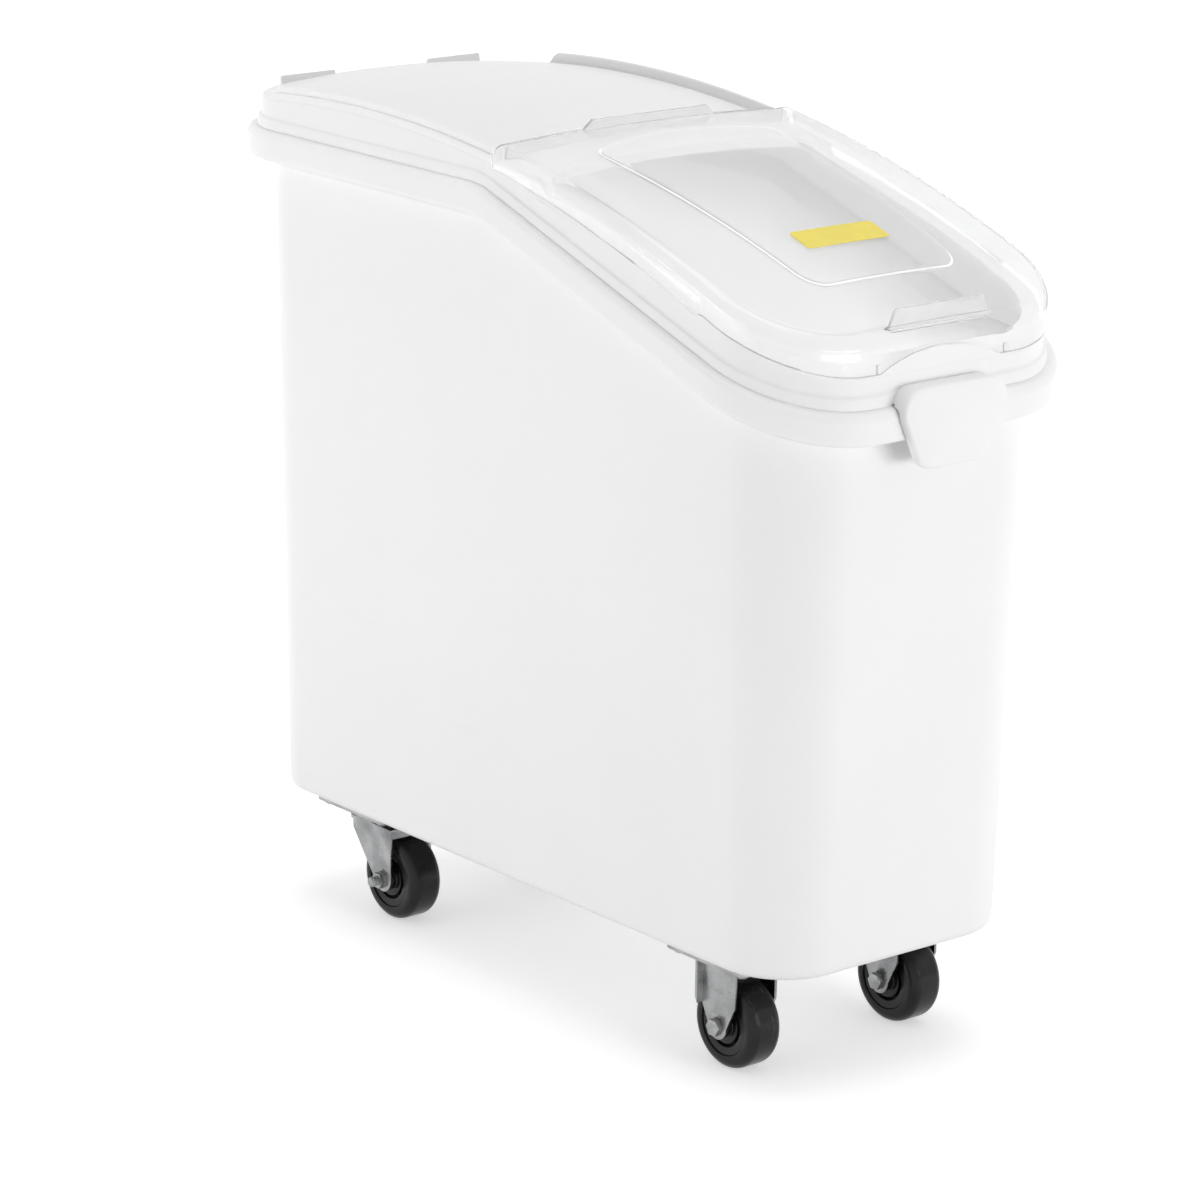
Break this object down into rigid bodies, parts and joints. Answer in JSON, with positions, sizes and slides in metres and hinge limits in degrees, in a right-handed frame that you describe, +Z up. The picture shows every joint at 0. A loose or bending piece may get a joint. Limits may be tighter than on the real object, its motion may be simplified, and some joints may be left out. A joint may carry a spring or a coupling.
{
  "type": "rolling ingredient bin",
  "caption": "White rolling flour bin: a narrow drafted tub on casters, with a lift-off arched lid frame, a clear sliding lid over a sloped scooping opening and a front pull grip.",
  "frame": {"origin": "middle of the bounding box, on the floor", "axes": "+X towards the sloped front and the grip, +Y to the bin's left, +Z up"},
  "size_m": [0.755, 0.34, 0.735],
  "materials": {
    "white_plastic": "satin moulded polyethylene",
    "clear_plastic": "clear glossy polycarbonate",
    "label": "glossy sticker, blank",
    "tread_rubber": "semi-gloss black rubber",
    "core_plastic": "satin black plastic",
    "zinc_plate": "satin zinc plate",
    "brass": "plain turned brass"
  },
  "bodies": {
    "base": {"tub": "white_plastic", "threaded_inserts": "brass", "plate_screws": "zinc_plate", "plate_washers": "zinc_plate", "front_left_fork": "zinc_plate", "front_left_axle_sleeve": "zinc_plate", "front_left_hub_washers": "zinc_plate", "front_left_axle_bolt": "zinc_plate", "front_left_axle_nut": "zinc_plate", "front_right_fork": "zinc_plate", "front_right_axle_sleeve": "zinc_plate", "front_right_hub_washers": "zinc_plate", "front_right_axle_bolt": "zinc_plate", "front_right_axle_nut": "zinc_plate", "rear_left_top_plate": "zinc_plate", "rear_left_swivel_pin": "zinc_plate", "rear_left_race_balls": "zinc_plate", "rear_right_top_plate": "zinc_plate", "rear_right_swivel_pin": "zinc_plate", "rear_right_race_balls": "zinc_plate"},
    "lid_frame": {"lid_frame": "white_plastic"},
    "sliding_lid": {"sliding_lid": "clear_plastic", "blank_label": "label"},
    "front_left_wheel": {"front_left_tread": "tread_rubber", "front_left_wheel_core": "core_plastic"},
    "front_right_wheel": {"front_right_tread": "tread_rubber", "front_right_wheel_core": "core_plastic"},
    "rear_left_swivel": {"rear_left_fork": "zinc_plate", "rear_left_axle_sleeve": "zinc_plate", "rear_left_hub_washers": "zinc_plate", "rear_left_axle_bolt": "zinc_plate", "rear_left_axle_nut": "zinc_plate"},
    "rear_left_wheel": {"rear_left_tread": "tread_rubber", "rear_left_wheel_core": "core_plastic"},
    "rear_right_swivel": {"rear_right_fork": "zinc_plate", "rear_right_axle_sleeve": "zinc_plate", "rear_right_hub_washers": "zinc_plate", "rear_right_axle_bolt": "zinc_plate", "rear_right_axle_nut": "zinc_plate"},
    "rear_right_wheel": {"rear_right_tread": "tread_rubber", "rear_right_wheel_core": "core_plastic"}
  },
  "joints": [
    {"name": "lid_frame_lift", "type": "slide", "parent": "base", "child": "lid_frame", "axis": [0, 0, 1], "range_m": [0, 0.2]},
    {"name": "lid_slide", "type": "hinge", "parent": "lid_frame", "child": "sliding_lid", "pos_m": [-0.1915, 0, -0.57947], "axis": [0, -1, 0], "range_deg": [0, 10]},
    {"name": "front_left_roll", "type": "hinge", "parent": "base", "child": "front_left_wheel", "pos_m": [0.24, 0.088, 0.0375], "axis": [0, 1, 0], "continuous": true},
    {"name": "front_right_roll", "type": "hinge", "parent": "base", "child": "front_right_wheel", "pos_m": [0.24, -0.088, 0.0375], "axis": [0, 1, 0], "continuous": true},
    {"name": "rear_left_swivel", "type": "hinge", "parent": "base", "child": "rear_left_swivel", "pos_m": [-0.236, 0.088, 0.091], "axis": [0, 0, 1], "continuous": true},
    {"name": "rear_left_roll", "type": "hinge", "parent": "rear_left_swivel", "child": "rear_left_wheel", "pos_m": [-0.208, 0.088, 0.0375], "axis": [0, 1, 0], "continuous": true},
    {"name": "rear_right_swivel", "type": "hinge", "parent": "base", "child": "rear_right_swivel", "pos_m": [-0.236, -0.088, 0.091], "axis": [0, 0, 1], "continuous": true},
    {"name": "rear_right_roll", "type": "hinge", "parent": "rear_right_swivel", "child": "rear_right_wheel", "pos_m": [-0.208, -0.088, 0.0375], "axis": [0, 1, 0], "continuous": true}
  ]
}
